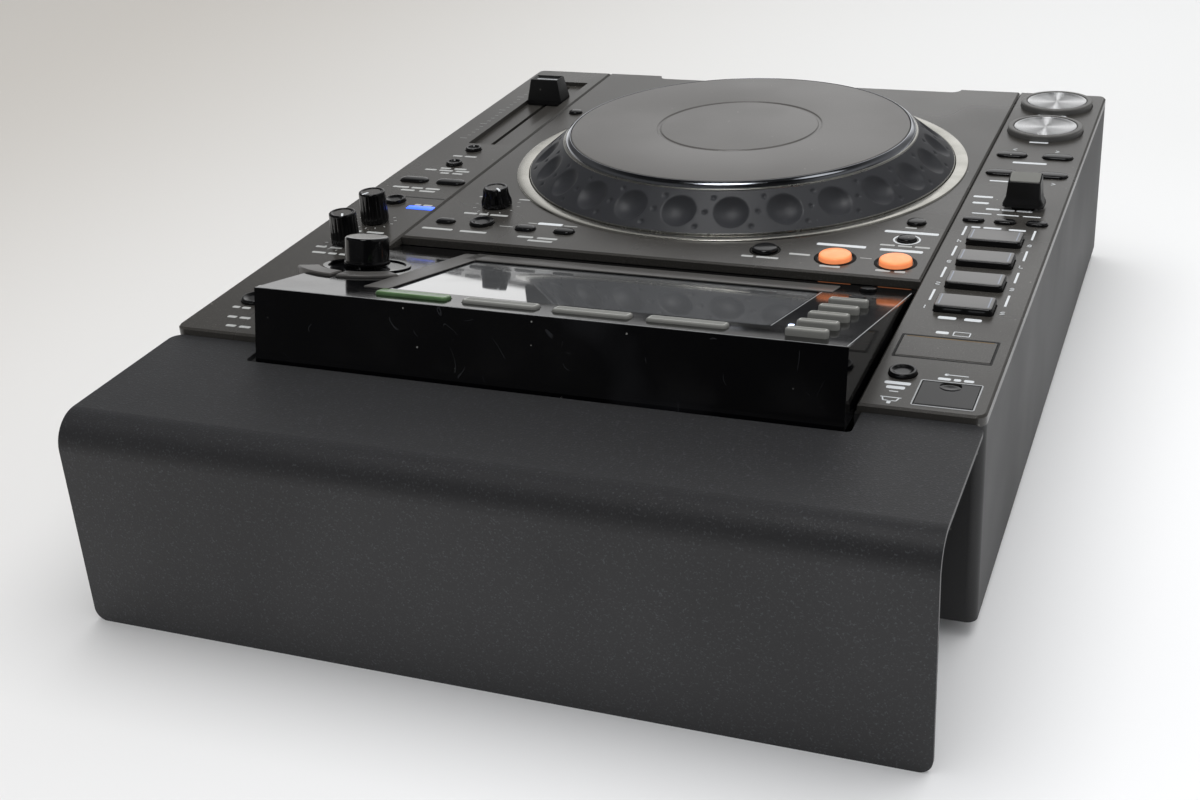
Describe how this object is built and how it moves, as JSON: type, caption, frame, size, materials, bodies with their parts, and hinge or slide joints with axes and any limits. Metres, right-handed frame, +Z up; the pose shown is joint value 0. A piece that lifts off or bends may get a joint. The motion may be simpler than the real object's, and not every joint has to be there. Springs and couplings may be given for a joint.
{
  "type": "dj disc player",
  "caption": "Slot-loading DJ disc deck with a dimpled jog wheel, tilted display, cue and loop keys, tempo slider and a bent sheet cover over its rear sockets.",
  "frame": {"origin": "on the table under the middle of the footprint", "axes": "+Z up, +X the player's right, -Y the side the player stands at, +Y the socket side"},
  "size_m": [0.32, 0.458, 0.1123],
  "materials": {
    "case_black": "fine matte",
    "panel_grey": "matte, warm grey",
    "cover_black": "matte powder coat",
    "housing_black": "gloss with fine scratches",
    "screen_glass": "polished",
    "ring_silver": "satin",
    "dial_graphite": "semi-gloss",
    "plate_grey": "matte",
    "key_grey": "translucent matte",
    "key_dark": "matte",
    "key_green": "lit, translucent",
    "key_orange": "lit, translucent",
    "key_metal": "turned, polished",
    "knob_black": "gloss",
    "slider_black": "satin",
    "foot_rubber": "matte",
    "socket_black": "matte",
    "drive_black": "matte"
  },
  "bodies": {
    "deck": {"bottom_case": "case_black", "centre_panel": "panel_grey", "left_column_panel": "panel_grey", "right_column_panel": "panel_grey", "display_housing": "housing_black", "display_glass": "screen_glass", "jog_ring": "ring_silver", "rear_cover": "cover_black", "rubber_feet": "foot_rubber", "rear_sockets": "socket_black", "disc_drive": "drive_black"},
    "jog_dial": {"jog_dial": "dial_graphite"},
    "jog_top_plate": {"jog_top_plate": "plate_grey"},
    "tempo_slider": {"tempo_slider": "slider_black"},
    "direction_lever": {"direction_lever": "slider_black"},
    "selector_stem": {"selector_stem": "knob_black"},
    "selector_knob": {"selector_knob": "knob_black"},
    "back_button": {"back_button": "key_dark"},
    "tag_button": {"tag_button": "key_dark"},
    "usb_door": {"usb_door": "key_dark"},
    "card_door": {"card_door": "panel_grey"},
    "usb_stop_button": {"usb_stop_button": "key_dark"},
    "hot_cue_pad_1": {"hot_cue_pad_1": "key_grey"},
    "hot_cue_pad_2": {"hot_cue_pad_2": "key_grey"},
    "hot_cue_pad_3": {"hot_cue_pad_3": "key_grey"},
    "hot_cue_pad_4": {"hot_cue_pad_4": "key_grey"},
    "search_back_button": {"search_back_button": "key_dark"},
    "search_forward_button": {"search_forward_button": "key_dark"},
    "track_back_button": {"track_back_button": "key_dark"},
    "track_forward_button": {"track_forward_button": "key_dark"},
    "cue_button": {"cue_button": "key_metal"},
    "play_button": {"play_button": "key_metal"},
    "eject_button": {"eject_button": "key_dark"},
    "jog_mode_button": {"jog_mode_button": "key_dark"},
    "sync_button": {"sync_button": "key_dark"},
    "master_button": {"master_button": "key_dark"},
    "tempo_range_button": {"tempo_range_button": "key_dark"},
    "master_tempo_button": {"master_tempo_button": "key_dark"},
    "loop_in_button": {"loop_in_button": "key_orange"},
    "loop_out_button": {"loop_out_button": "key_orange"},
    "reloop_button": {"reloop_button": "key_dark"},
    "memory_button": {"memory_button": "key_dark"},
    "delete_button": {"delete_button": "key_dark"},
    "tempo_reset_button": {"tempo_reset_button": "key_dark"},
    "loop_cut_keys": {"loop_cut_keys": "key_dark"},
    "call_keys": {"call_keys": "key_dark"},
    "bank_keys": {"bank_keys": "key_dark"},
    "menu_button_1": {"menu_button_1": "key_grey"},
    "menu_button_2": {"menu_button_2": "key_grey"},
    "menu_button_3": {"menu_button_3": "key_grey"},
    "menu_button_4": {"menu_button_4": "key_green"},
    "source_button_1": {"source_button_1": "key_grey"},
    "source_button_2": {"source_button_2": "key_grey"},
    "source_button_3": {"source_button_3": "key_grey"},
    "source_button_4": {"source_button_4": "key_grey"},
    "source_button_5": {"source_button_5": "key_grey"},
    "display_side_keys": {"display_side_keys": "key_dark"},
    "touch_speed_knob": {"touch_speed_knob": "knob_black"},
    "release_speed_knob": {"release_speed_knob": "knob_black"},
    "jog_adjust_knob": {"jog_adjust_knob": "knob_black"}
  },
  "joints": [
    {"name": "jog_spin", "type": "hinge", "parent": "deck", "child": "jog_dial", "pos_m": [-0.0025, -0.09151, 0.0883], "axis": [0, 0, 1], "continuous": true},
    {"name": "jog_top_plate_press", "type": "slide", "parent": "jog_dial", "child": "jog_top_plate", "axis": [0, 0, -1], "range_m": [0, 0.0005], "stiffness_N_per_m": 6000, "springref_m": -0.0004},
    {"name": "tempo_slide", "type": "slide", "parent": "deck", "child": "tempo_slider", "axis": [0, 1, 0], "range_m": [-0.025, 0.075]},
    {"name": "direction_tilt", "type": "hinge", "parent": "deck", "child": "direction_lever", "pos_m": [-0.143, -0.05399, 0.0808], "axis": [1, 0, 0], "range_deg": [-10, 10]},
    {"name": "selector_stem_press", "type": "slide", "parent": "deck", "child": "selector_stem", "axis": [0, 0.23, -0.9732], "range_m": [0, 0.0008], "stiffness_N_per_m": 1500, "springref_m": -0.0004},
    {"name": "selector_turn", "type": "hinge", "parent": "selector_stem", "child": "selector_knob", "pos_m": [0.1014, 0.09462, 0.09752], "axis": [0, -0.23, 0.9732], "continuous": true},
    {"name": "back_button_press", "type": "slide", "parent": "deck", "child": "back_button", "axis": [0, 0.23, -0.9732], "range_m": [0, 0.0006], "stiffness_N_per_m": 2500, "springref_m": -0.0004},
    {"name": "tag_button_press", "type": "slide", "parent": "deck", "child": "tag_button", "axis": [0, 0.23, -0.9732], "range_m": [0, 0.0006], "stiffness_N_per_m": 2500, "springref_m": -0.0004},
    {"name": "usb_door_swing", "type": "hinge", "parent": "deck", "child": "usb_door", "pos_m": [-0.1446, 0.14481, 0.0873], "axis": [-1, 0, 0], "range_deg": [0, 95]},
    {"name": "card_door_swing", "type": "hinge", "parent": "deck", "child": "card_door", "pos_m": [-0.1374, 0.10751, 0.0873], "axis": [-1, 0, 0], "range_deg": [0, 95]},
    {"name": "usb_stop_button_press", "type": "slide", "parent": "deck", "child": "usb_stop_button", "axis": [0, 0, -1], "range_m": [0, 0.0008], "stiffness_N_per_m": 2500, "springref_m": -0.0004},
    {"name": "hot_cue_pad_1_press", "type": "slide", "parent": "deck", "child": "hot_cue_pad_1", "axis": [0, 0, -1], "range_m": [0, 0.001], "stiffness_N_per_m": 2500, "springref_m": -0.0004},
    {"name": "hot_cue_pad_2_press", "type": "slide", "parent": "deck", "child": "hot_cue_pad_2", "axis": [0, 0, -1], "range_m": [0, 0.001], "stiffness_N_per_m": 2500, "springref_m": -0.0004},
    {"name": "hot_cue_pad_3_press", "type": "slide", "parent": "deck", "child": "hot_cue_pad_3", "axis": [0, 0, -1], "range_m": [0, 0.001], "stiffness_N_per_m": 2500, "springref_m": -0.0004},
    {"name": "hot_cue_pad_4_press", "type": "slide", "parent": "deck", "child": "hot_cue_pad_4", "axis": [0, 0, -1], "range_m": [0, 0.001], "stiffness_N_per_m": 2500, "springref_m": -0.0004},
    {"name": "search_back_button_press", "type": "slide", "parent": "deck", "child": "search_back_button", "axis": [0, 0, -1], "range_m": [0, 0.0008], "stiffness_N_per_m": 2500, "springref_m": -0.0004},
    {"name": "search_forward_button_press", "type": "slide", "parent": "deck", "child": "search_forward_button", "axis": [0, 0, -1], "range_m": [0, 0.0008], "stiffness_N_per_m": 2500, "springref_m": -0.0004},
    {"name": "track_back_button_press", "type": "slide", "parent": "deck", "child": "track_back_button", "axis": [0, 0, -1], "range_m": [0, 0.0008], "stiffness_N_per_m": 2500, "springref_m": -0.0004},
    {"name": "track_forward_button_press", "type": "slide", "parent": "deck", "child": "track_forward_button", "axis": [0, 0, -1], "range_m": [0, 0.0008], "stiffness_N_per_m": 2500, "springref_m": -0.0004},
    {"name": "cue_button_press", "type": "slide", "parent": "deck", "child": "cue_button", "axis": [0, 0, -1], "range_m": [0, 0.0012], "stiffness_N_per_m": 2500, "springref_m": -0.0004},
    {"name": "play_button_press", "type": "slide", "parent": "deck", "child": "play_button", "axis": [0, 0, -1], "range_m": [0, 0.0012], "stiffness_N_per_m": 2500, "springref_m": -0.0004},
    {"name": "eject_button_press", "type": "slide", "parent": "deck", "child": "eject_button", "axis": [0, 0, -1], "range_m": [0, 0.0008], "stiffness_N_per_m": 2500, "springref_m": -0.0004},
    {"name": "jog_mode_button_press", "type": "slide", "parent": "deck", "child": "jog_mode_button", "axis": [0, 0, -1], "range_m": [0, 0.0008], "stiffness_N_per_m": 2500, "springref_m": -0.0004},
    {"name": "sync_button_press", "type": "slide", "parent": "deck", "child": "sync_button", "axis": [0, 0, -1], "range_m": [0, 0.0008], "stiffness_N_per_m": 2500, "springref_m": -0.0004},
    {"name": "master_button_press", "type": "slide", "parent": "deck", "child": "master_button", "axis": [0, 0, -1], "range_m": [0, 0.0008], "stiffness_N_per_m": 2500, "springref_m": -0.0004},
    {"name": "tempo_range_button_press", "type": "slide", "parent": "deck", "child": "tempo_range_button", "axis": [0, 0, -1], "range_m": [0, 0.0008], "stiffness_N_per_m": 2500, "springref_m": -0.0004},
    {"name": "master_tempo_button_press", "type": "slide", "parent": "deck", "child": "master_tempo_button", "axis": [0, 0, -1], "range_m": [0, 0.0008], "stiffness_N_per_m": 2500, "springref_m": -0.0004},
    {"name": "loop_in_button_press", "type": "slide", "parent": "deck", "child": "loop_in_button", "axis": [0, 0, -1], "range_m": [0, 0.0008], "stiffness_N_per_m": 2500, "springref_m": -0.0004},
    {"name": "loop_out_button_press", "type": "slide", "parent": "deck", "child": "loop_out_button", "axis": [0, 0, -1], "range_m": [0, 0.0008], "stiffness_N_per_m": 2500, "springref_m": -0.0004},
    {"name": "reloop_button_press", "type": "slide", "parent": "deck", "child": "reloop_button", "axis": [0, 0, -1], "range_m": [0, 0.0008], "stiffness_N_per_m": 2500, "springref_m": -0.0004},
    {"name": "memory_button_press", "type": "slide", "parent": "deck", "child": "memory_button", "axis": [0, 0, -1], "range_m": [0, 0.0008], "stiffness_N_per_m": 2500, "springref_m": -0.0004},
    {"name": "delete_button_press", "type": "slide", "parent": "deck", "child": "delete_button", "axis": [0, 0, -1], "range_m": [0, 0.0008], "stiffness_N_per_m": 2500, "springref_m": -0.0004},
    {"name": "tempo_reset_button_press", "type": "slide", "parent": "deck", "child": "tempo_reset_button", "axis": [0, 0, -1], "range_m": [0, 0.0008], "stiffness_N_per_m": 2500, "springref_m": -0.0004},
    {"name": "loop_cut_keys_press", "type": "slide", "parent": "deck", "child": "loop_cut_keys", "axis": [0, 0, -1], "range_m": [0, 0.0008], "stiffness_N_per_m": 2500, "springref_m": -0.0004},
    {"name": "call_keys_press", "type": "slide", "parent": "deck", "child": "call_keys", "axis": [0, 0, -1], "range_m": [0, 0.0008], "stiffness_N_per_m": 2500, "springref_m": -0.0004},
    {"name": "bank_keys_press", "type": "slide", "parent": "deck", "child": "bank_keys", "axis": [0, 0, -1], "range_m": [0, 0.0008], "stiffness_N_per_m": 2500, "springref_m": -0.0004},
    {"name": "menu_button_1_press", "type": "slide", "parent": "deck", "child": "menu_button_1", "axis": [0, 0.23, -0.9732], "range_m": [0, 0.0008], "stiffness_N_per_m": 2500, "springref_m": -0.0004},
    {"name": "menu_button_2_press", "type": "slide", "parent": "deck", "child": "menu_button_2", "axis": [0, 0.23, -0.9732], "range_m": [0, 0.0008], "stiffness_N_per_m": 2500, "springref_m": -0.0004},
    {"name": "menu_button_3_press", "type": "slide", "parent": "deck", "child": "menu_button_3", "axis": [0, 0.23, -0.9732], "range_m": [0, 0.0008], "stiffness_N_per_m": 2500, "springref_m": -0.0004},
    {"name": "menu_button_4_press", "type": "slide", "parent": "deck", "child": "menu_button_4", "axis": [0, 0.23, -0.9732], "range_m": [0, 0.0008], "stiffness_N_per_m": 2500, "springref_m": -0.0004},
    {"name": "source_button_1_press", "type": "slide", "parent": "deck", "child": "source_button_1", "axis": [0, 0.23, -0.9732], "range_m": [0, 0.0008], "stiffness_N_per_m": 2500, "springref_m": -0.0004},
    {"name": "source_button_2_press", "type": "slide", "parent": "deck", "child": "source_button_2", "axis": [0, 0.23, -0.9732], "range_m": [0, 0.0008], "stiffness_N_per_m": 2500, "springref_m": -0.0004},
    {"name": "source_button_3_press", "type": "slide", "parent": "deck", "child": "source_button_3", "axis": [0, 0.23, -0.9732], "range_m": [0, 0.0008], "stiffness_N_per_m": 2500, "springref_m": -0.0004},
    {"name": "source_button_4_press", "type": "slide", "parent": "deck", "child": "source_button_4", "axis": [0, 0.23, -0.9732], "range_m": [0, 0.0008], "stiffness_N_per_m": 2500, "springref_m": -0.0004},
    {"name": "source_button_5_press", "type": "slide", "parent": "deck", "child": "source_button_5", "axis": [0, 0.23, -0.9732], "range_m": [0, 0.0008], "stiffness_N_per_m": 2500, "springref_m": -0.0004},
    {"name": "display_side_keys_press", "type": "slide", "parent": "deck", "child": "display_side_keys", "axis": [0, 0.23, -0.9732], "range_m": [0, 0.0008], "stiffness_N_per_m": 2500, "springref_m": -0.0004},
    {"name": "touch_speed_knob_turn", "type": "hinge", "parent": "deck", "child": "touch_speed_knob", "pos_m": [0.1365, 0.05091, 0.0883], "axis": [0, 0, 1], "range_deg": [-150, 150]},
    {"name": "release_speed_knob_turn", "type": "hinge", "parent": "deck", "child": "release_speed_knob", "pos_m": [0.1365, 0.02331, 0.0883], "axis": [0, 0, 1], "range_deg": [-150, 150]},
    {"name": "jog_adjust_knob_turn", "type": "hinge", "parent": "deck", "child": "jog_adjust_knob", "pos_m": [0.0895, -0.00801, 0.0883], "axis": [0, 0, 1], "range_deg": [-150, 150]}
  ]
}
